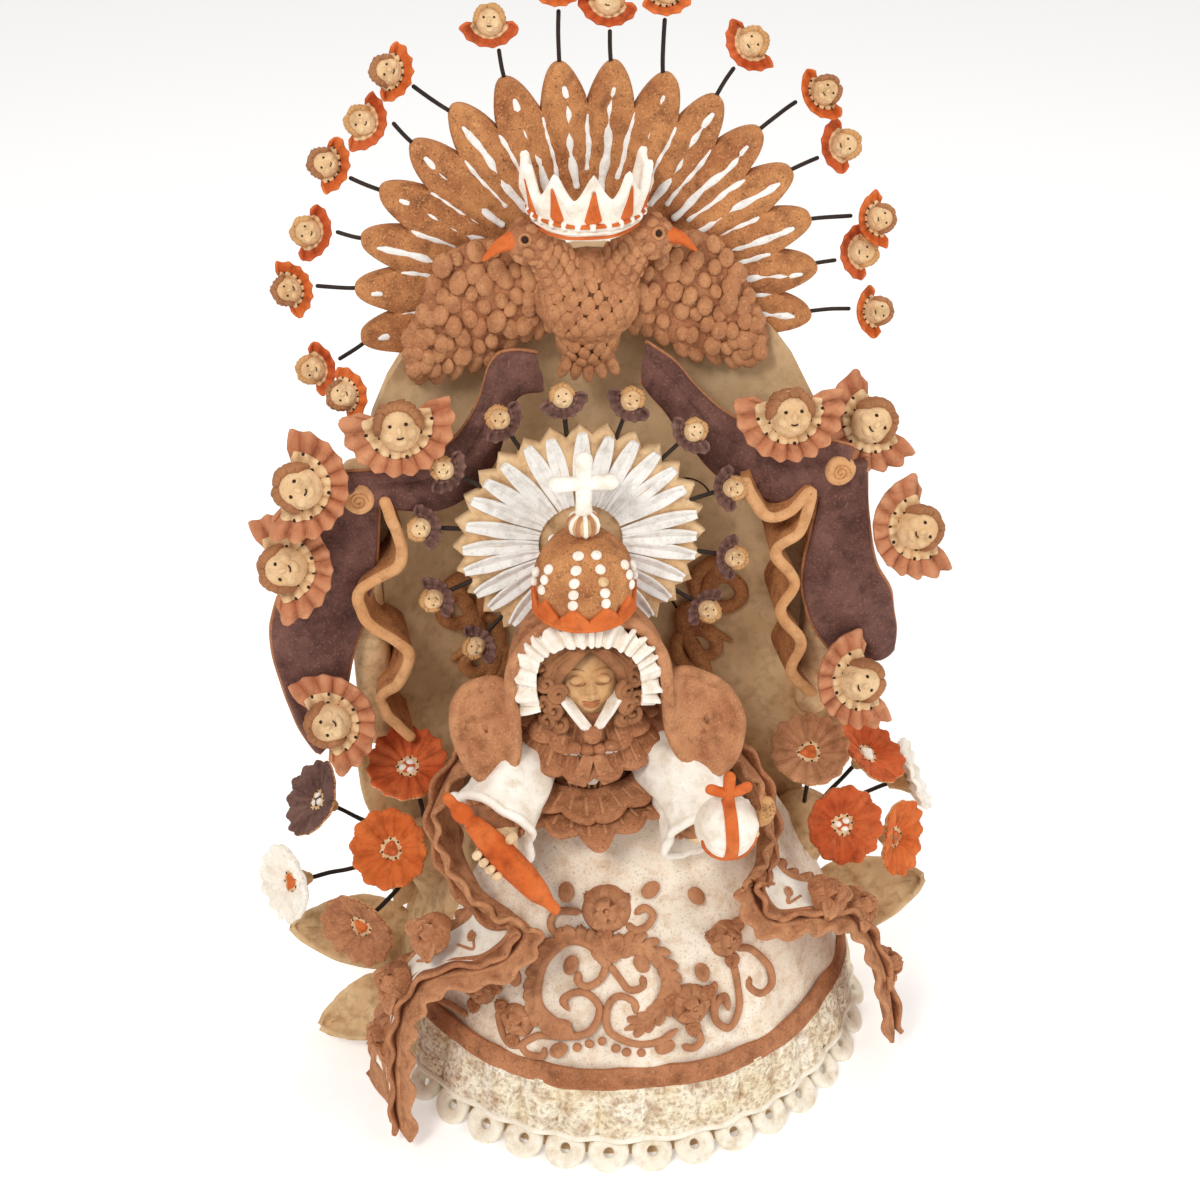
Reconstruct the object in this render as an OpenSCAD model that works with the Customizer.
// Clay tree of life: a crowned figure in a wide skirt stands on a hollow bell-shaped foot, in front of
// a bowed clay wall. Curtains and swags frame the wall, and a two-headed eagle and a fan of pointed
// rays top it. Small cherubs and trumpet flowers stand on springy wires pricked into the clay.
// Millimetres, +Z up, +Y away from the viewer. The origin is on the ground, below the middle of the
// whole piece.

/* [Foot and skirt] */
// Radius of the foot where it stands
foot_r = 122; // [108:1:140]
// Height of the foot's bell, up to the figure's waist
bell_h = 168; // [140:1:205]
// Wall of the bell
bell_wall = 7; // [5:0.5:9]
// Thickness of the skirt's slab
skirt_t = 4; // [3:0.5:6]
// Height of the lace flounce's top edge
flounce_top = 46; // [38:1:56]
// Height of the lace flounce's bottom edge
flounce_bottom = 13; // [11:1:20]
// Thickness of the lace flounce at its bottom edge
flounce_t = 6; // [4:0.5:9]
// Radius of a ring in the hem's row
ring_r = 10; // [8:0.5:12]
// Radius of the hole in a hem ring
ring_hole_r = 3.2; // [2:0.2:4.5]
// Number of hem rings
ring_count = 15; // [10:1:15]

/* [Figure] */
// Radius of the bodice at the chest
chest_r = 23; // [19:0.5:27]
// Height of the neck's base above the waist
bodice_h = 44; // [38:1:52]
// Radius of the head across the ears
head_r = 14.5; // [12:0.5:17]
// Outer radius of the hood
hood_r = 36; // [33:0.5:41]
// Wall of the hood
hood_t = 4.5; // [3:0.5:6]
// Radius of the crown's rim
crown_r = 22; // [18:0.5:26]
// Height of the crown's dome
crown_h = 53; // [44:1:62]
// Length of the sceptre
sceptre_len = 76; // [62:1:92]
// Radius of the orb
orb_r = 14; // [12:0.5:16.5]
// Radius of the pointed disc behind the head
nimbus_r = 57; // [48:1:66]

/* [Wall and canopy] */
// Width of the bowed wall
wall_w = 216; // [200:1:240]
// Thickness of the bowed wall
wall_t = 8; // [6:0.5:10]
// Radius to which the wall is bowed
wall_bow = 184; // [160:1:220]
// Height of the sun fan's centre above the waist
canopy_rise = 228; // [200:1:260]
// Radius of the posts at the wall's edges
post_r = 9; // [7.5:0.5:11]
// Thickness of the curtain and swag slabs
cloth_t = 4.5; // [3:0.5:6]
// Radius from the fan's centre to the points of its rays
fan_r = 103; // [90:1:118]
// Radius of the open middle of the fan
fan_hole_r = 42; // [36:1:50]
// Thickness of the fan
fan_t = 10; // [9:0.5:12]

/* [Wires] */
// Radius of the annealed iron wire
wire_r = 1; // [0.8:0.1:1.3]
// Depth of a wire's pivot below the clay's surface
pit_depth = 5; // [4:0.5:6]
// Gap between a wire's ball end and the pit around it
pit_gap = 0.4; // [0.3:0.1:0.6]
// Gap round a wire's end where the clay is fired onto it
wire_fit = 0.05; // [0.02:0.01:0.1]
// Radius of a trumpet flower
flower_r = 20; // [16:0.5:21]

/* [Hidden] */
$fn = 48;

// Axes and planes that the pieces share
bell_at = [9, 5];             // axis of the foot
bell_taper = 0.58;            // share of its radius that the bell loses on the way up
bell_curve = 1.8;             // how late the bell narrows
bell_cones = 16;              // cones that the bell is built of
front_mid = -80;              // direction of the middle of the skirt's front
front_span = 146;             // stretch of the bell that the skirt's front covers
fig = [-12, -32, bell_h];     // waist of the figure
head_at = fig + [0, -3, bodice_h + 26];
crown_at = head_at + [-1, 1, hood_r - 3];
nimbus_at = fig + [0, 22, 119];
wall_face = 43;               // nearest point of the wall's bowed face, at its middle
wall_at = [-2, wall_face - wall_bow];
canopy_x = -3;
fan_at = [canopy_x, 33, bell_h + canopy_rise];
ruffle_t = 4;                 // thickness of the collar and the hip frill
peg_z = fan_at.z - 74;
post_x = wall_w / 2 + 2;
post_y = wall_at.y + sqrt(pow(wall_bow, 2) - pow(wall_w / 2, 2)) + 1;
ball_r = wire_r + 0.6;
tilt_play = 9;                // swing that the mouth of a pit leaves a wire, each way
seat_depth = 4;               // length of a wire's end inside its clay
leaf_t = 3.5;                 // thickness of a leaf
wall_low = 62;                // height at which the wall's edges start
post_low = bell_h + 24;       // height at which the posts start, above the flowers

// Colours of the clays and slips
BUFF = "#cda575";
SAND = "#a9714b";
WHITE = "#e9e2d6";
PLUM = "#5e4340";
ORANGE = "#c65f2e";
OCHRE = "#c09a66";
BROWN = "#8d5c3f";
IRON = "#2b2522";

// Rim rays, counted from the right: direction of each wire, its free length and the head's direction
ray_first = -9;
ray_step = 13.2;
HALO = [
    [2, 17, -4], [9, 8, 16], [3, 18, -4], [25, 12, 26],
    [38, 18, 24], [60, 12, 57], [90, 21, 90], [94, 12, 94],
    [91, 21, 92], [102, 11, 105], [144, 17, 146], [132, 10, 165],
    [156, 12, 148], [165, 9, 172], [175, 15, 182], [214, 12, 200]
];

// Middle of each flower, offset from its bank's middle; the first five stand in the left bank
bank_z = 106;
bank_r = 18;
bank_seat = 6;                // how far the middle of a bank stands out of the bell's surface
FLOWERS = [
    [-1, [-10, -17, 70]], [-1, [-58, 4, 36]], [-1, [-22, -38, 34]],
    [-1, [-74, -24, 6]], [-1, [-40, -48, -8]], [1, [-4, -19, 62]],
    [1, [34, 2, 42]], [1, [12, -40, 28]], [1, [46, -24, 4]], [1, [60, 15, 13]]
];

function node_names(stem, count) = [for (i = [1:count]) str(stem, "_", i < 10 ? "0" : "", i)];
HALO_NODES = node_names("halo_cherub", len(HALO));
FLOWER_NODES = node_names("flower", len(FLOWERS));

// ---------------------------------------------------------------- helpers

// Direction in the XZ plane at an angle from +X
function xz(angle) = [cos(angle), 0, sin(angle)];
function unit(v) = v / norm(v);
function reversed(list) = [for (i = [len(list) - 1:-1:0]) list[i]];

// The bell is a stack of cones. Its radius at a ring between two of them, and at any height
function bell_ring(i) = foot_r * (1 - bell_taper * pow(i / bell_cones, bell_curve));
function bell_r(z) = let (s = max(0, min(bell_cones - 0.0001, z / bell_h * bell_cones)), i = floor(s))
    bell_ring(i) + (bell_ring(i + 1) - bell_ring(i)) * (s - i);
// Lean of its side from upright
function bell_lean(z) = let (half = 4) atan((bell_r(z - half) - bell_r(z + half)) / (2 * half));
// Outline from one height to another, with a point at each ring between
function bell_outline(off, low, high) =
    let (step = bell_h / bell_cones,
         rings = [for (i = [1:bell_cones - 1]) if (i * step > low && i * step < high) i * step])
    [for (z = concat([low], rings, [high])) [bell_r(z) + off, z]];

// Smooth curve through hand-placed points, u from 0 to 1
function through(points, u) =
    let (n = len(points) - 1, s = min(n - 0.0001, max(0, u * n)), i = floor(s), t = s - i,
         a = points[max(0, i - 1)], b = points[i], c = points[i + 1], d = points[min(n, i + 2)])
    0.5 * (2 * b + (c - a) * t + (2 * a - 5 * b + 4 * c - d) * t * t + (3 * b - a - 3 * c + d) * t * t * t);

// Places children with their +Z along a direction
module aim(at, dir) {
    d = unit(dir);
    translate(at) rotate([0, acos(d.z), atan2(d.y, d.x)]) children();
}

// Straight round limb between two points
module limb(a, b, ra, rb) {
    aim(a, b - a) cylinder(r1 = ra, r2 = rb, h = norm(b - a));
}

// Slab of clay that follows a surface f(u, v)
module sheet(f, nu, nv, t) {
    e = 0.002;
    mid = [for (i = [0:nu], j = [0:nv]) f(i / nu, j / nv)];
    side = [for (i = [0:nu], j = [0:nv]) let (
        u = i / nu, v = j / nv,
        du = f(min(1, u + e), v) - f(max(0, u - e), v),
        dv = f(u, min(1, v + e)) - f(u, max(0, v - e)))
        unit(cross(du, dv)) * t / 2];
    count = len(mid);
    function at(i, j) = i * (nv + 1) + j;
    quads = [for (i = [0:nu - 1], j = [0:nv - 1]) [at(i, j), at(i, j + 1), at(i + 1, j + 1), at(i + 1, j)]];
    edge = concat([for (j = [0:nv - 1]) at(0, j)], [for (i = [0:nu - 1]) at(i, nv)],
                  [for (j = [nv:-1:1]) at(nu, j)], [for (i = [nu:-1:1]) at(i, 0)]);
    rim = [for (k = [0:len(edge) - 1]) let (a = edge[k], b = edge[(k + 1) % len(edge)])
        [a, a + count, b + count, b]];
    tri = function(list) [for (q = list) each [[q[0], q[1], q[2]], [q[0], q[2], q[3]]]];
    flip = [for (q = quads) [for (i = reversed(q)) i + count]];
    polyhedron(concat(mid + side, mid - side), concat(tri(quads), tri(flip), tri(rim)), convexity = 8);
}

// The bell as a full solid, grown by off, to cut what sits on it
module bell_form(off = 0, low = 0) {
    translate(bell_at) rotate_extrude()
        polygon(concat([[0, low - 1], [bell_r(low) + off, low - 1]],
                       bell_outline(off, low, bell_h), [[0, bell_h]]));
}

// Bell and skirt together, as what the figure's pieces sit on
module skirt_form() {
    bell_form();
    translate(bell_at) rotate([0, 0, front_mid - front_span / 2]) rotate_extrude(angle = front_span)
        polygon(concat([[0, 0]], bell_outline(skirt_t, 0, bell_h), [[0, bell_h]]));
}

// Frame on the skirt's surface: +Z outwards, +Y up the cloth
module on_skirt(angle, z) {
    translate(bell_at) rotate(angle) translate([bell_r(z) + skirt_t, 0, z])
        rotate([0, 90 - bell_lean(z), 0]) rotate(90) children();
}

// Part of a round coil of clay, lying flat
module curl(r, wire, from, turn) {
    rotate(from) rotate_extrude(angle = turn) translate([r, 0]) circle(r = wire);
}

// Petalled rose pressed from a strip of clay
module rose(r) {
    cylinder(r1 = r * 0.7, r2 = r, h = r * 0.8);
    translate([0, 0, r * 0.75]) sphere(r = r * 0.5);
    for (k = [0:4]) rotate(72 * k) translate([r * 0.75, 0, r * 0.45]) sphere(r = r * 0.42);
}

// Cherub: a fan-shaped bib of clay with a head on it, growing along +Z from the wire's end
module cherub(bib, head, depth) {
    difference() {
        union() {
            intersection() {
                cylinder(r1 = bib * 0.25, r2 = bib, h = bib * 1.25);
                translate([-bib, -depth / 2, 0]) cube([2 * bib, depth, bib * 1.25]);
            }
            translate([0, 0, bib * 1.25 + head * 0.6]) sphere(r = head);
        }
        wire_seat();
    }
}

// Conical pit that a wire stands in, opening along +Z, with the pivot at the origin
module pit() {
    pit_r = ball_r + pit_gap;
    neck = 0.5;
    translate([0, 0, -pit_r]) cylinder(r = pit_r, h = pit_r + neck);
    translate([0, 0, neck])
        cylinder(r1 = pit_r, r2 = pit_r + pit_depth * tan(tilt_play), h = pit_depth + 2);
}

// Wire with a ball end in its pit, growing along +Z for its free length and on into its clay
module wire(free) {
    sphere(r = ball_r);
    cylinder(r = wire_r, h = pit_depth + free + seat_depth);
}

// Hole that a wire's far end is seated in, from the origin along +Z
module wire_seat() {
    translate([0, 0, -1]) cylinder(r = wire_r + wire_fit, h = seat_depth + wire_fit + 1);
}

// ---------------------------------------------------------------- foot and skirt

module foot_bell() {
    inner = concat(bell_outline(-bell_wall, 0, bell_h - bell_wall), [[0, bell_h - bell_wall]]);
    color(BUFF) translate(bell_at) rotate_extrude()
        polygon(concat(bell_outline(0, 0, bell_h), [[0, bell_h]], reversed(inner)));
}

module skirt() {
    color(WHITE) translate(bell_at) rotate([0, 0, front_mid - front_span / 2])
        rotate_extrude(angle = front_span)
            polygon(concat(bell_outline(skirt_t, flounce_top, bell_h),
                           reversed(bell_outline(0, flounce_top, bell_h))));
}

// Outer outline of the flounce, which flares towards its bottom edge
function flounce_outline() =
    [for (p = bell_outline(0, flounce_bottom, flounce_top))
        p + [skirt_t + (flounce_t - skirt_t) * (flounce_top - p.y) / (flounce_top - flounce_bottom), 0]];

module lace_flounce() {
    color(WHITE) translate(bell_at) rotate([0, 0, front_mid - front_span / 2])
        rotate_extrude(angle = front_span)
            polygon(concat(flounce_outline(), reversed(bell_outline(0, flounce_bottom, flounce_top))));
}

// The hem's rings lean out at 45 degrees around the foot, each cut to the clay behind it
module hem_rings() {
    ring_t = 5;
    lean = 45;
    row_r = foot_r + 5;
    low = ring_r * cos(lean) + ring_t / 2 * sin(lean) + 0.2;
    step = front_span / ring_count;
    color(WHITE) difference() {
        for (k = [0:ring_count - 1])
            translate(bell_at) rotate(front_mid - front_span / 2 + step * (k + 0.5))
                translate([row_r, 0, low]) rotate([0, lean, 0]) difference() {
                    cylinder(r = min(ring_r, row_r * tan(step / 2) - 0.15), h = ring_t, center = true);
                    cylinder(r = ring_hole_r, h = ring_t + 1, center = true);
                }
        translate(bell_at) rotate_extrude()
            polygon(concat([[0, -1], [foot_r, -1]], bell_outline(0, 0, flounce_bottom),
                           flounce_outline(), [[0, flounce_top]]));
    }
}

module skirt_band() {
    band_low = flounce_top - 3;
    band_high = flounce_top + 7;
    function lip(z, out) = [bell_r(z) + skirt_t + out, z];
    color(SAND) translate(bell_at) rotate([0, 0, front_mid - front_span / 2])
        rotate_extrude(angle = front_span)
            polygon([lip(band_low, 0.4), lip(band_low + 1.5, 3), lip(band_high - 1.5, 3),
                     lip(band_high, 0.2), lip(flounce_top, 0.2)]);
}

// Scrolls and roses applied to the skirt's front; the wreath mirrors about its middle
module skirt_ornaments() {
    wreath = front_mid - 20;
    roses = [[wreath + 2, 128], [wreath + 38, 104], [wreath + 24, 80], [wreath - 22, 70],
             [wreath - 33, 76]];
    // angle from the wreath's middle, height, then the coil's radius, thickness, start and turn
    curls = [[9, 100, 10, 2.2, -60, 300], [15, 82, 14, 2.4, -100, 190],
             [10, 63, 8, 2, 60, 260], [17, 122, 7, 2, 80, 240]];
    color(SAND) difference() {
        union() {
            for (p = roses) on_skirt(p[0], p[1]) rose(8);
            for (side = [-1, 1], c = curls)
                on_skirt(wreath + side * c[0], c[1]) rotate([0, side > 0 ? 0 : 180, 0])
                    curl(c[2], c[3], c[4], c[5]);
        }
        skirt_form();
    }
}

// ---------------------------------------------------------------- figure

function chest_z(share) = bell_h + bodice_h * share;

module bodice_form() {
    low = bell_h - 16;
    neck_top = bell_h + bodice_h + 12;
    translate([fig.x, fig.y, 0]) rotate_extrude()
        polygon([[0, low], [chest_r - 2, low], [chest_r - 4, chest_z(0.05)], [chest_r, chest_z(0.5)],
                 [chest_r - 3, chest_z(0.78)], [9, chest_z(1)], [8, neck_top], [0, neck_top]]);
}

module bodice() {
    color(BROWN) difference() {
        bodice_form();
        skirt_form();
        head_form();
    }
}

// Space under and in the collar, as a full solid
module collar_form() {
    translate([fig.x, fig.y, 0]) rotate_extrude()
        polygon([[0, chest_z(1)], [12, chest_z(1)], [chest_r + 9, chest_z(0.6)],
                 [chest_r + 8, chest_z(0.6) - ruffle_t], [10, chest_z(0.93) - ruffle_t],
                 [0, chest_z(0.8)]]);
}

// Cone-shaped collar over the shoulders and frill over the hips, just clear of the bell's top
module bodice_ruffles() {
    hip_low = bell_h + 0.2;
    color(SAND) difference() {
        union() {
            collar_form();
            translate([fig.x, fig.y, 0]) rotate_extrude()
                polygon([[chest_r - 6, hip_low], [chest_r - 6, chest_z(0.2)], [chest_r, chest_z(0.2)],
                         [chest_r + 10, hip_low + ruffle_t / 2], [chest_r + 9, hip_low]]);
        }
        bodice_form();
    }
}

// Egg-shaped head on the neck
module head_form() {
    tall = head_r * 1.3;
    translate(head_at) rotate_extrude()
        polygon([for (a = [-90:10:90]) [head_r * (1 + 0.1 * sin(a)) * cos(a), tall * sin(a)]]);
}

module head() {
    color(OCHRE) head_form();
}

module hair() {
    hair_r = head_r + 6.5;
    color(BROWN) difference() {
        translate(head_at + [0, 2, 4]) sphere(r = hair_r);
        head_form();
        aim(head_at + [0, 0, -1], [0, -1, -0.1]) cylinder(r = head_r - 2, h = 40);
        bodice_form();
        crown_form();
    }
}

// Ruffled white frill round the hair
module veil() {
    veil_r = head_r + 11.5;
    color(WHITE) difference() {
        translate(head_at + [0, -8, 4]) rotate([90, 0, 0]) curl(veil_r, 3.4, -30, 240);
        crown_form();
        translate(head_at + [0, 2, 4]) sphere(r = head_r + 6.5);
    }
}

module hood_dome(grow = 0) {
    translate(head_at + [0, 8, 2]) sphere(r = hood_r + grow);
}

// Dome over the head, a cape behind the shoulders, and a lobe turned back over each shoulder
module hood() {
    base = head_at.z - 16;
    color(SAND) difference() {
        union() {
            difference() {
                hood_dome();
                hood_dome(-hood_t);
                translate([head_at.x - 60, head_at.y - 60, base - 60]) cube([120, 120, 60]);
                translate([head_at.x - 60, head_at.y - 70, base - 1]) cube([120, 66, 80]);
            }
            translate([head_at.x, head_at.y + 8, 0]) rotate([0, 0, -22]) rotate_extrude(angle = 224)
                polygon([[hood_r - hood_t - 1, base], [hood_r - 1, base], [hood_r + 13, base - 32],
                         [hood_r + 8, base - 34]]);
            for (side = [-1, 1])
                aim(head_at + [side * (hood_r + 9) - 1, -7, -27], [side * 0.3, -1, 0.2])
                    cylinder(r = 17, h = hood_t + 1);
        }
        crown_form();
        nimbus_lug();
        bodice_form();
    }
}

// Where each sleeve starts and ends
function sleeve_top(side) = fig + [side * 25, 0, bodice_h * 0.55];
function sleeve_end(side) = side < 0 ? fig + [-43, -36, 8] : fig + [52, -42, 0];

module sleeves() {
    cuff_r = 14.5;
    cuff_t = 4;
    color(WHITE) difference() {
        for (side = [-1, 1]) {
            top = sleeve_top(side);
            end = sleeve_end(side);
            long = norm(end - top);
            aim(top, end - top) rotate_extrude()
                polygon([[0, -9], [7, -8], [11, 0], [cuff_r, long - 8], [cuff_r + 3, long - 3],
                         [cuff_r + 2, long], [cuff_r - cuff_t, long], [cuff_r - cuff_t, long - 14],
                         [0, long - 14]]);
        }
        bodice_form();
        collar_form();
        skirt_form();
        translate(orb_at) sphere(r = orb_r + strap_t);
    }
}

// The sceptre's middle and direction, and the orb's middle
sceptre_mid = fig + [-46, -60, 9];
sceptre_dir = unit([48, -30, -49]);
orb_at = fig + [58, -60, 15];
strap_t = 1.2;                // height of the orb's straps above it

module hands() {
    palm_r = 7;
    grip_r = 4.6;
    color(OCHRE) difference() {
        union() {
            limb(sleeve_end(-1) + [3, 10, 6], sceptre_mid + [1, 9, -1], 6, 5);
            translate(sceptre_mid + [1, 7, -1]) sphere(r = palm_r);
            for (k = [0:3])
                translate(sceptre_mid + sceptre_dir * (4 * k - 6)) aim([0, 0, 0], sceptre_dir)
                    curl(grip_r + 1.6, 2, 60, 210);
            limb(sleeve_end(1) + [-3, 10, 6], orb_at + [-2, 12, -9], 6, 6);
            translate(orb_at + [-1, 10, -11]) sphere(r = palm_r + 2);
            for (k = [-1:2]) aim(orb_at, [0.25 * k, 0.2, -1]) translate([0, -2, orb_r + 1]) sphere(r = 2.6);
            limb(orb_at + [8, 8, -8], orb_at + [orb_r + 2, 0, -2], 2.8, 2.2);
        }
        translate(orb_at) sphere(r = orb_r + strap_t);
        sceptre_form();
        skirt_form();
    }
}

module sceptre_form() {
    half = sceptre_len / 2;
    aim(sceptre_mid, -sceptre_dir) rotate_extrude()
        polygon([[0, -half], [3.2, -half + 1.5], [3, -half + 4], [4.6, -half + 6], [3.2, -half + 9],
                 [7.2, -half * 0.45], [7.6, -half * 0.1], [4.6, half * 0.2], [4.4, half * 0.45],
                 [6.2, half * 0.55], [6, half * 0.66], [3, half * 0.74], [4.8, half * 0.86],
                 [3.6, half - 2], [0, half]]);
}

module sceptre() {
    color(ORANGE) sceptre_form();
}

// White ball with two orange straps and a cross
module orb() {
    color(WHITE) translate(orb_at) sphere(r = orb_r);
    color(ORANGE) translate(orb_at) difference() {
        union() {
            rotate([90, 0, 0]) rotate_extrude() translate([orb_r - 1, -2.2]) square([1 + strap_t, 4.4]);
            rotate_extrude() translate([orb_r - 1, -2.2]) square([1 + strap_t, 4.4]);
            limb([0, 0, orb_r - 1], [0, 0, orb_r + 15], 2.4, 2.4);
            limb([-7, 0, orb_r + 8], [7, 0, orb_r + 8], 2.4, 2.4);
        }
        sphere(r = orb_r);
    }
}

// Cape of ruffled slab on each side. The trim's edge and the edge behind it are set by hand.
mantle_t = 4;
LEFT_TRIM = [[-66, -34, 196], [-84, -45, 172], [-82, -60, 150], [-66, -82, 136], [-48, -103, 138],
             [-62, -104, 118], [-92, -97, 106], [-106, -97, 84], [-110, -97, 50], [-111, -96, 8]];
LEFT_BACK = [[-54, -2, 204], [-70, -12, 172], [-76, -26, 146], [-74, -48, 130], [-72, -62, 122],
             [-80, -64, 112], [-98, -66, 100], [-112, -66, 80], [-120, -62, 48], [-126, -56, 6]];
RIGHT_TRIM = [[48, -34, 192], [68, -42, 174], [74, -58, 152], [66, -80, 144], [56, -98, 148],
              [66, -103, 130], [92, -95, 122], [114, -82, 106], [130, -76, 70], [144, -66, 14]];
RIGHT_BACK = [[34, -2, 204], [56, -10, 176], [70, -26, 150], [76, -48, 136], [80, -62, 130],
              [90, -62, 122], [106, -58, 112], [120, -50, 92], [134, -44, 60], [150, -40, 8]];

// The cape's points are placed for this bell, and follow it when its size changes
cape_foot_r = 122;
cape_bell_h = 168;
function fitted(p) =
    [bell_at.x + (p.x - bell_at.x) * foot_r / cape_foot_r, p.y * foot_r / cape_foot_r,
     p.z * bell_h / cape_bell_h];

module mantle(trim, back, side) {
    sheet(function(u, v) let (p = through(trim, u), q = through(back, u))
            fitted(p * (1 - v) + q * v) + [0, 0, 1.6 * (1 - v) * sin(u * 360 * 9)],
          44, 6, side * mantle_t);
}

module mantle_left() {
    color(SAND) mantle(LEFT_TRIM, LEFT_BACK, 1);
    rose_spots = [[-93, -84, 126], [-112, -84, 96], [-118, -84, 62]];
    color(SAND) for (p = rose_spots) aim(fitted(p), [-0.4, -1, 0.5]) rose(7);
}

module mantle_right() {
    color(SAND) mantle(RIGHT_TRIM, RIGHT_BACK, 1);
    rose_spots = [[100, -82, 128], [120, -70, 108], [138, -64, 62]];
    color(SAND) for (p = rose_spots) aim(fitted(p), [0.4, -1, 0.5]) rose(7);
}

// Lug that carries the nimbus from the wall
module nimbus_lug() {
    limb(nimbus_at, [nimbus_at.x, wall_face + 1, nimbus_at.z], 8, 8);
}

// Disc with a pointed edge and a raised white petal in front of each point
module nimbus() {
    points = 28;
    disc_t = 6;
    petal_t = 1.6;
    step = 360 / points;
    color(BUFF) difference() {
        union() {
            translate(nimbus_at) rotate([90, 0, 0]) linear_extrude(disc_t, center = true)
                polygon([for (k = [0:2 * points - 1]) let (r = k % 2 == 0 ? nimbus_r : nimbus_r - 6)
                    r * [cos(step * k / 2), sin(step * k / 2)]]);
            translate(nimbus_at - [0, disc_t / 2, 0]) rotate([90, 0, 0]) linear_extrude(petal_t)
                for (k = [0:points - 1]) rotate(step * k)
                    polygon([[nimbus_r * 0.4, -1], [nimbus_r * 0.8, -2.4], [nimbus_r - 5, -1.8],
                             [nimbus_r - 2.5, 0], [nimbus_r - 5, 1.8], [nimbus_r * 0.8, 2.4],
                             [nimbus_r * 0.4, 1]]);
            nimbus_lug();
        }
        crown_form();
        hood_dome();
        wall_form();
    }
}

// Outline of the crown's dome at an angle from its widest ring, as [radius, height]
function dome(a) = [(crown_r + 2.5) * pow(cos(a), 0.6), crown_h * (0.2 + 0.8 * sin(a))];

module crown_form() {
    translate(crown_at) rotate_extrude()
        polygon(concat([[0, 0], [crown_r, 0], [crown_r + 1.5, 8]], [for (a = [10:10:80]) dome(a)],
                       [[0, crown_h]]));
}

// Ribbed dome with a peaked band, rows of pearls, a ball and a cross
module crown() {
    pearl_r = 2.4;
    top = crown_at + [0, 0, crown_h];
    color(ORANGE) difference() {
        union() {
            crown_form();
            for (column = [-152, -106, -78, -32], k = [0:4]) let (p = dome(10 + 14 * k))
                translate(crown_at + [0, 0, p.y]) rotate(column) translate([p.x, 0, 0])
                    sphere(r = pearl_r);
            translate(top + [0, 0, 4]) sphere(r = 7);
            limb(top + [0, 0, 9], top + [0, 0, 39], 3, 3.4);
            limb(top + [-11, 0, 25], top + [11, 0, 25], 3.2, 3.2);
        }
        hood_dome();
    }
}

// ---------------------------------------------------------------- wall and canopy

// Arched outline of the wall, seen from the front
function wall_outline() = let (shoulder = fan_at.z - 82, rise = 100)
    concat([[-wall_w / 2, wall_low], [wall_w / 2, wall_low]],
           [for (a = [0:10:180]) [wall_w / 2 * cos(a), shoulder + rise * sin(a)]]);

module wall_form() {
    intersection() {
        translate(wall_at) difference() {
            cylinder(r = wall_bow + wall_t, h = fan_at.z + 50);
            translate([0, 0, -1]) cylinder(r = wall_bow, h = fan_at.z + 52);
        }
        translate([wall_at.x, 100, 0]) rotate([90, 0, 0]) linear_extrude(100) polygon(wall_outline());
    }
}

module post_forms() {
    for (side = [-1, 1])
        translate([wall_at.x + side * post_x, post_y, post_low])
            cylinder(r = post_r, h = peg_z + 8 - post_low);
}

module back_wall() {
    color(BUFF) difference() {
        wall_form();
        bell_form();
        post_forms();
    }
}

// Posts at the wall's edges, a rolled scroll inside each, and S-shaped scrolls applied to the wall
module scroll_posts() {
    color(SAND) difference() {
        union() {
            post_forms();
            for (side = [-1, 1], k = [0:1])
                translate([wall_at.x, wall_at.y, fan_at.z - 164 - 34 * k]) rotate(-side * (21 - 3 * k))
                    translate([0, wall_bow - 2, 0]) rotate([90, 0, 0])
                        rotate(k * 180) curl(15, 4, side * 90, side * 180);
        }
        wall_form();
        bell_form();
    }
}

// Curtain: a slab that hangs from a peg, and a wavy frill along its inner edge
module curtain(middle, halves) {
    fold = 0.12;              // depth of its folds, as a share of the half width
    sheet(function(u, v) let (half = through(halves, u)[0])
            through(middle, u) + [(2 * v - 1) * half, fold * half * sin(v * 540 + u * 90), fan_at.z],
          14, 10, cloth_t);
}

// Wavy ribbon that runs down, edge towards the viewer and its back edge luted to the wall
module frill(middle, swing, waves) {
    lap = 0.6;
    function wall_front(x) = wall_at.y + sqrt(pow(wall_bow, 2) - pow(x - wall_at.x, 2));
    sheet(function(u, v) let (p = through(middle, u) + [swing * sin(u * 360 * waves), 0, fan_at.z])
            [p.x, p.y * (1 - v) + (wall_front(p.x) + lap) * v, p.z],
          44, 2, cloth_t);
}

curtain_y = post_y - post_r - cloth_t / 2 - 4;
LEFT_CURTAIN = [[-113, curtain_y, -70], [-122, curtain_y, -111], [-131, curtain_y, -132],
                [-138, curtain_y, -154], [-139, curtain_y, -176], [-137, curtain_y, -196],
                [-131, curtain_y, -214]];
RIGHT_CURTAIN = [[112, curtain_y, -74], [113, curtain_y, -108], [114, curtain_y, -134],
                 [121, curtain_y, -155], [128, curtain_y, -171], [134, curtain_y, -184]];
LEFT_FRILL = [[-92, -14, -92], [-95, -14, -120], [-96, -14, -150], [-96, -14, -180], [-92, -14, -206]];
RIGHT_FRILL = [[76, -14, -98], [84, -14, -112], [86, -14, -134], [87, -14, -160], [90, -14, -196]];

module curtain_left() {
    color(PLUM) curtain(LEFT_CURTAIN, [[10], [16], [18], [17], [15], [11], [8]]);
    color(SAND) frill(LEFT_FRILL, -6, 2.5);
}

module curtain_right() {
    color(PLUM) curtain(RIGHT_CURTAIN, [[9], [13], [15], [19], [16], [8]]);
    color(SAND) frill(RIGHT_FRILL, 6, 2.5);
}

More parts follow.
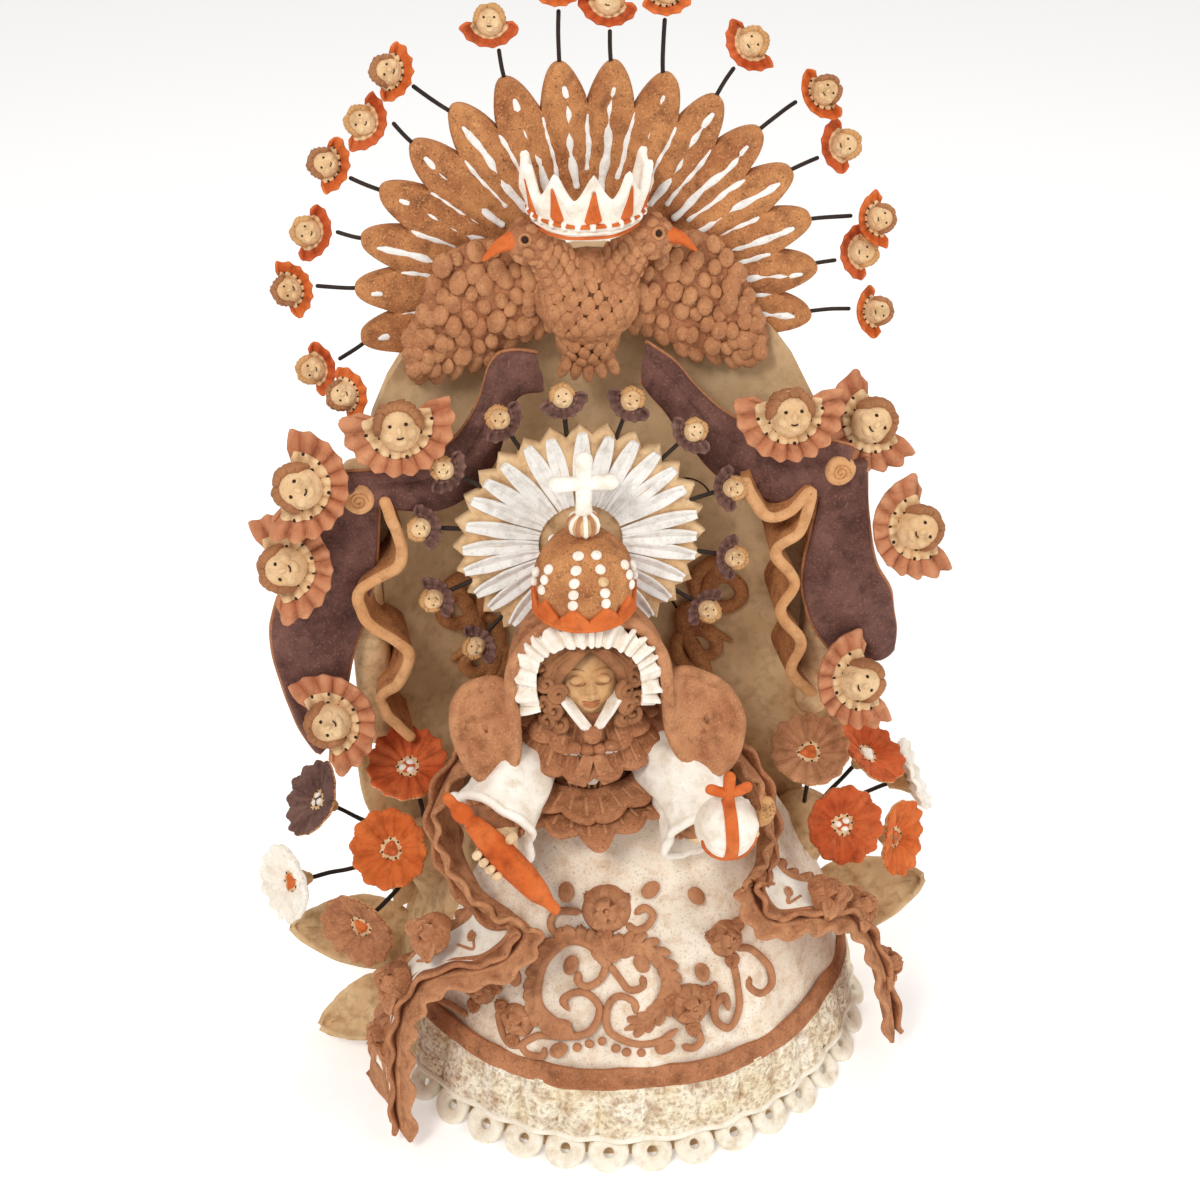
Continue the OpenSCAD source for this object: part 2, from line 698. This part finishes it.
// Swag: a slab that sweeps from under the eagle to a peg, between two hand-placed edges
module swag(high, low) {
    sheet(function(u, v) let (p = through(high, u), q = through(low, u))
            p * (1 - v) + q * v + [0, -3 * sin(180 * v) * sin(180 * u), fan_at.z],
          18, 8, cloth_t);
}

module swag_left() {
    color(PLUM) swag([[-28, 16, -22], [-46, 13, -22], [-56, 9, -44], [-70, 4, -60], [-92, -5, -65],
                      [-118, -13, -62]],
                     [[-26, 16, -38], [-40, 13, -42], [-50, 8, -70], [-66, 3, -86], [-92, -6, -84],
                      [-116, -13, -72]]);
}

module swag_right() {
    color(PLUM) swag([[22, 16, -20], [34, 13, -30], [52, 9, -50], [72, 3, -59], [92, -5, -61],
                      [114, -13, -64]],
                     [[20, 16, -36], [30, 13, -48], [46, 8, -72], [66, 2, -90], [94, -6, -92],
                      [110, -13, -76]]);
}

module pegs() {
    color(SAND) difference() {
        for (side = [-1, 1])
            translate([wall_at.x + side * post_x, post_y, peg_z]) rotate([90, 0, 0]) {
                cylinder(r = 4, h = post_r + 12);
                translate([0, 0, post_r + 11]) cylinder(r = 7, h = 5);
            }
        post_forms();
        wall_form();
    }
}

eagle_at = fan_at + [-2, -19, 8];
eagle_crown_at = eagle_at + [-1, -4, 44];

module eagle_breast() {
    hull() {
        translate(eagle_at + [0, -2, 2]) sphere(r = 15, $fn = 24);
        translate(eagle_at + [0, 3, -24]) sphere(r = 9, $fn = 24);
        translate(eagle_at + [-13, 3, 10]) sphere(r = 10, $fn = 24);
        translate(eagle_at + [13, 3, 10]) sphere(r = 10, $fn = 24);
    }
}

// Body with a fan tail, two necks and two heads that look outwards
module eagle_body() {
    color(SAND) difference() {
        union() {
            eagle_breast();
            for (side = [-1, 1]) {
                limb(eagle_at + [side * 13, 2, 10], eagle_at + [side * 21, -2, 30], 9.5, 7.5);
                translate(eagle_at + [side * 22, -2, 31]) sphere(r = 9);
                limb(eagle_at + [side * 29, -4, 31], eagle_at + [side * 43, -6, 26], 4.5, 1);
            }
            for (k = [-2:2]) aim(eagle_at + [k * 3, 4, -26], [k * 0.28, 0, -1])
                cylinder(r1 = 4.5, r2 = 5, h = 15);
        }
        fan_form();
        eagle_crown_form();
    }
}

// Wing outline: leading edge from the shoulder, then a row of feather tips back to the body
function wing_outline() = let (tips = 6)
    concat([[10, 14], [34, 21], [52, 23], [66, 17], [76, 2], [82, -18]],
           [for (k = [0:tips * 4]) let (s = k / (tips * 4))
               [80 - 62 * s, -30 + 12 * s + 5 * pow(abs(sin(180 * s * tips)), 0.5) * -1]]);

module eagle_wings() {
    wing_t = 9;
    color(SAND) difference() {
        for (side = [-1, 1])
            translate([eagle_at.x, fan_at.y - (fan_t + wing_t) / 2 - 0.1, eagle_at.z])
                mirror([side < 0 ? 1 : 0, 0, 0]) rotate([90, 0, 0])
                    linear_extrude(wing_t, center = true) polygon(wing_outline());
        eagle_breast();
        wall_form();
    }
}

module eagle_crown_form() {
    translate(eagle_crown_at) rotate(-200) rotate_extrude(angle = 220)
        polygon([[18, -9], [22, -10], [27, 14], [23, 14]]);
}

// Flaring open crown on both heads, its back open towards the fan, with a row of rounded points
module eagle_crown() {
    points = 6;
    color(WHITE) union() {
        eagle_crown_form();
        for (k = [0:points - 1]) translate(eagle_crown_at) rotate(-190 + 200 * k / (points - 1))
            limb([25, 0, 12], [27.5, 0, 24], 4.2, 2.2);
    }
}

// Outline of the ray fan: rounded points with narrow valleys, round an open middle
function fan_outline() = let (lobes = len(HALO), low = ray_first - ray_step / 2, per = 10,
                              valley = 11)
    [for (k = [0:lobes * per]) let (s = k / per, wave = abs(sin(180 * s)),
                                    r = fan_r - valley * (1 - pow(wave, 0.55)))
        r * [cos(low + ray_step * s), sin(low + ray_step * s)]];

module fan_form() {
    low = ray_first - ray_step / 2;
    high = low + ray_step * len(HALO);
    translate(fan_at) rotate([90, 0, 0]) linear_extrude(fan_t, center = true)
        polygon(concat(fan_outline(),
                       [for (a = [high:-6:low]) fan_hole_r * [cos(a), sin(a)]]));
}

// Point on the fan's rim where a wire is pricked in, and the pivot below it
function ray_angle(k) = ray_first + ray_step * k;
function halo_pivot(k) = fan_at + (fan_r - pit_depth) * xz(ray_angle(k));

module sunburst() {
    color(SAND) difference() {
        fan_form();
        wall_form();
        for (k = [0:len(HALO) - 1]) aim(halo_pivot(k), xz(HALO[k][0])) pit();
    }
}

// ---------------------------------------------------------------- cherubs, leaves and flowers

module halo_cherub(k) {
    dir = xz(HALO[k][0]);
    end = halo_pivot(k) + dir * (pit_depth + HALO[k][1]);
    aim(halo_pivot(k), dir) color(IRON) wire(HALO[k][1]);
    color(ORANGE) translate(end) rotate([0, 90 - HALO[k][2], 0]) cherub(9.5, 6, 8);
}

// Small cherubs round the nimbus: direction, distance of the wire's outer end
module nimbus_cherubs() {
    around = [-133, -159, 171, 146, 119, 96, 72, 46, 18, -11, -35];
    color(PLUM) for (a = around) {
        root = nimbus_at + (nimbus_r - 7) * xz(a);
        end = nimbus_at + (nimbus_r + 6) * xz(a);
        limb(root, end + 3 * xz(a), wire_r, wire_r);
        translate(end) rotate([0, 90 - a, 0]) cherub(8.5, 5.5, 7);
    }
}

// Large cherubs along the curtains: face, and the point of the canopy that its lug meets
module curtain_cherubs() {
    fan = 19.5;
    faces = [
        [[-92, -12, -40], [-84, 24, -36], -10], [[-137, -20, -63], [-112, -12, -70], -58],
        [[-147, -19, -104], [-128, -7, -108], -80], [[-133, -22, -189], [-133, -7, -184], -20],
        [[83, -12, -44], [74, 24, -38], 5], [[126, 6, -60], [108, 12, -68], 40],
        [[145, -19, -104], [118, -7, -102], 60], [[123, -22, -186], [128, -7, -170], 20],
        [[-116, 2, -30], [-100, 20, -76], -40]
    ];
    color(SAND) difference() {
        for (f = faces) {
            at = [f[0].x, f[0].y, fan_at.z + f[0].z];
            foot = [f[1].x, f[1].y, fan_at.z + f[1].z];
            size = f == faces[8] ? 0.6 : 1;
            limb(foot, at, 2.5, 2.5);
            translate(at) rotate([0, f[2], 0]) {
                sphere(r = 10.5 * size);
                translate([0, 4, -4]) rotate([90, 0, 0]) cylinder(r = fan * size, h = 6, center = true);
            }
        }
        wall_form();
        post_forms();
    }
}

function bank_at(side) =
    [bell_at.x + side * (bell_r(bank_z) + bank_seat) * cos(4), bell_at.y + 5 - 8, bank_z];
function flower_dir(k) = unit(FLOWERS[k][1]);
function flower_pivot(k) = bank_at(FLOWERS[k][0]) + (bank_r - pit_depth) * flower_dir(k);

// Pointed leaf from its stem to its tip, its face turned forwards and up
module leaf(stem, tip, wide) {
    long = norm(tip - stem);
    arc_r = (pow(long, 2) + pow(wide, 2)) / (4 * wide);
    along = unit(tip - stem);
    across = unit(cross(along, [0, -1, 0.6]));
    face = cross(across, along);
    multmatrix([for (i = [0:2]) [across[i], along[i], face[i], stem[i]]])
        linear_extrude(leaf_t) intersection() {
            translate([arc_r - wide / 2, long / 2]) circle(r = arc_r);
            translate([wide / 2 - arc_r, long / 2]) circle(r = arc_r);
        }
}

// Banks of clay on the bell's shoulders, into which the flowers are pricked, and the leaves round them
module leaves() {
    // stem and tip as offsets from the bank's middle, and width
    spread = [
        [-1, [-10, 8, -66], [-76, 0, -44], 34], [-1, [-8, -22, -76], [-64, -26, -92], 30],
        [-1, [-4, 18, 4], [-32, 26, 46], 30],
        [1, [6, 6, -66], [68, -4, -42], 36], [1, [2, 26, 12], [24, 36, 70], 34]
    ];
    color(BUFF) difference() {
        union() {
            for (side = [-1, 1]) {
                translate(bank_at(side)) sphere(r = bank_r);
                limb(bank_at(side), bank_at(side) - [0, 0, 44], bank_r, bank_r * 0.8);
            }
            for (l = spread) leaf(bank_at(l[0]) + l[1], bank_at(l[0]) + l[2], l[3]);
        }
        skirt_form();
        post_forms();
        wall_form();
        for (k = [0:len(FLOWERS) - 1]) aim(flower_pivot(k), flower_dir(k)) pit();
    }
}

// Trumpet flower on its wire: a narrow cone behind a wide, dished face
module flower(k) {
    free = norm(FLOWERS[k][1]) - bank_r - 12;
    aim(flower_pivot(k), flower_dir(k)) {
        color(IRON) wire(free);
        color(ORANGE) translate([0, 0, pit_depth + free]) difference() {
            rotate_extrude()
                polygon([[0, 0], [3, 0], [5, 6], [9, 11], [flower_r, 15], [flower_r, 18],
                         [7, 14.5], [0, 13]]);
            wire_seat();
        }
    }
}

// ---------------------------------------------------------------- nodes

foot_bell();
skirt();
lace_flounce();
hem_rings();
skirt_band();
skirt_ornaments();
bodice();
bodice_ruffles();
head();
hair();
veil();
hood();
sleeves();
hands();
sceptre();
orb();
mantle_left();
mantle_right();
nimbus();
crown();
back_wall();
scroll_posts();
curtain_left();
curtain_right();
swag_left();
swag_right();
pegs();
eagle_body();
eagle_wings();
eagle_crown();
sunburst();
nimbus_cherubs();
curtain_cherubs();
leaves();
for (k = [0:len(HALO) - 1])
    halo_cherub(k);
for (k = [0:len(FLOWERS) - 1])
    flower(k);
